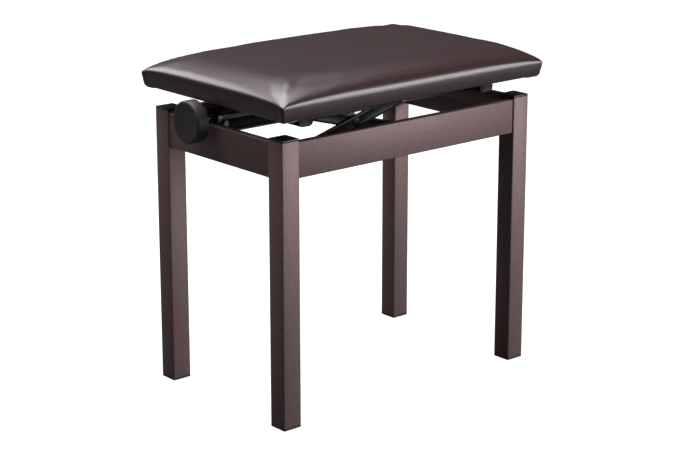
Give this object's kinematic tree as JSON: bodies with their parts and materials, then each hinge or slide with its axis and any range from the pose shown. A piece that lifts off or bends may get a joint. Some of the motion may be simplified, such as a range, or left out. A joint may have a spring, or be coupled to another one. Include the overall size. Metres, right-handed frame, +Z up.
{
  "type": "piano bench",
  "caption": "Rectangular bench with a padded top on a square-legged steel frame. A knob at one end drives a scissor lift that raises and lowers the seat.",
  "frame": {"origin": "on the floor, at the middle of the bench's bounding box with the seat at its lowest", "axes": "+X along the bench's length, away from the knob; +Y towards the back, away from the player's legs; +Z up"},
  "size_m": [0.5016, 0.32, 0.48],
  "materials": {
    "brown_powder_coat": "satin powder coat with a fine metallic fleck",
    "black_enamel": "semi-gloss black enamel",
    "bright_zinc": "bright zinc plate",
    "cap_plastic": "semi-gloss moulded plastic",
    "foot_plastic": "matt moulded foot",
    "knob_plastic": "matt, fine texture",
    "nylon": "natural nylon",
    "plywood": "bare plywood",
    "lining_cloth": "non-woven lining cloth",
    "leatherette": "satin leatherette with a soft grain"
  },
  "bodies": {
    "frame": {"leg_front_left": "brown_powder_coat", "leg_front_right": "brown_powder_coat", "leg_back_left": "brown_powder_coat", "leg_back_right": "brown_powder_coat", "leg_cap_front_left": "cap_plastic", "leg_cap_front_right": "cap_plastic", "leg_cap_back_left": "cap_plastic", "leg_cap_back_right": "cap_plastic", "foot_front_left": "foot_plastic", "foot_front_right": "foot_plastic", "foot_back_left": "foot_plastic", "foot_back_right": "foot_plastic", "front_rail": "brown_powder_coat", "back_rail": "brown_powder_coat", "left_rail": "brown_powder_coat", "right_rail": "brown_powder_coat", "base_channel_front": "black_enamel", "base_channel_back": "black_enamel", "base_bolt_front_left": "bright_zinc", "base_bolt_front_right": "bright_zinc", "base_bolt_back_left": "bright_zinc", "base_bolt_back_right": "bright_zinc", "bearing_plate": "black_enamel", "screw_bush": "nylon", "lower_pin_front": "bright_zinc", "lower_pin_back": "bright_zinc", "lower_pin_front_clip": "black_enamel", "lower_pin_back_clip": "black_enamel"},
    "outer_arms": {"outer_arm_front": "black_enamel", "outer_arm_back": "black_enamel", "cross_rivet_front": "black_enamel", "cross_rivet_back": "black_enamel", "upper_slide_shaft": "bright_zinc", "upper_slide_shaft_clip": "black_enamel", "upper_roller_front": "nylon", "upper_roller_back": "nylon"},
    "inner_arms": {"inner_arm_front": "black_enamel", "inner_arm_back": "black_enamel", "lower_slide_shaft": "bright_zinc", "lower_slide_shaft_clip": "black_enamel", "lower_roller_front": "nylon", "lower_roller_back": "nylon"},
    "nut": {"nut_block": "bright_zinc"},
    "drive": {"knob": "knob_plastic", "knob_grub_screw": "bright_zinc", "lead_screw": "bright_zinc", "thrust_collar": "bright_zinc"},
    "seat": {"seat_rail_front": "black_enamel", "seat_rail_back": "black_enamel", "seat_cross_left": "black_enamel", "seat_cross_right": "black_enamel", "upper_fixed_shaft": "bright_zinc", "upper_fixed_shaft_clip": "black_enamel", "seat_board": "plywood", "dust_cover": "lining_cloth", "cushion": "leatherette", "seat_screw_front_left": "bright_zinc", "seat_screw_front_right": "bright_zinc", "seat_screw_back_left": "bright_zinc", "seat_screw_back_right": "bright_zinc"}
  },
  "joints": [
    {"name": "lift", "type": "hinge", "parent": "frame", "child": "outer_arms", "pos_m": [-0.13575, 0, 0.375], "axis": [0, -1, 0], "range_deg": [0, 35.85]},
    {"name": "cross", "type": "hinge", "parent": "outer_arms", "child": "inner_arms", "pos_m": [-0.0514, 0, 0.39825], "axis": [0, -1, 0], "range_deg": [-71.7, 0]},
    {"name": "seat_level", "type": "hinge", "parent": "inner_arms", "child": "seat", "pos_m": [-0.13575, 0, 0.4215], "axis": [0, -1, 0], "range_deg": [0, 35.85]},
    {"name": "nut_level", "type": "hinge", "parent": "inner_arms", "child": "nut", "pos_m": [0.03296, 0, 0.375], "axis": [0, -1, 0], "range_deg": [0, 35.85]},
    {"name": "knob_turn", "type": "hinge", "parent": "frame", "child": "drive", "pos_m": [-0.23225, 0.029, 0.405], "axis": [1, 0, 0], "range_deg": [0, 7104]}
  ],
  "couplings": [
    {"joint": "cross", "follows": "lift", "ratio": -2},
    {"joint": "seat_level", "follows": "lift", "ratio": 1},
    {"joint": "nut_level", "follows": "lift", "ratio": 1},
    {"joint": "knob_turn", "follows": "lift", "ratio": 198.14}
  ]
}
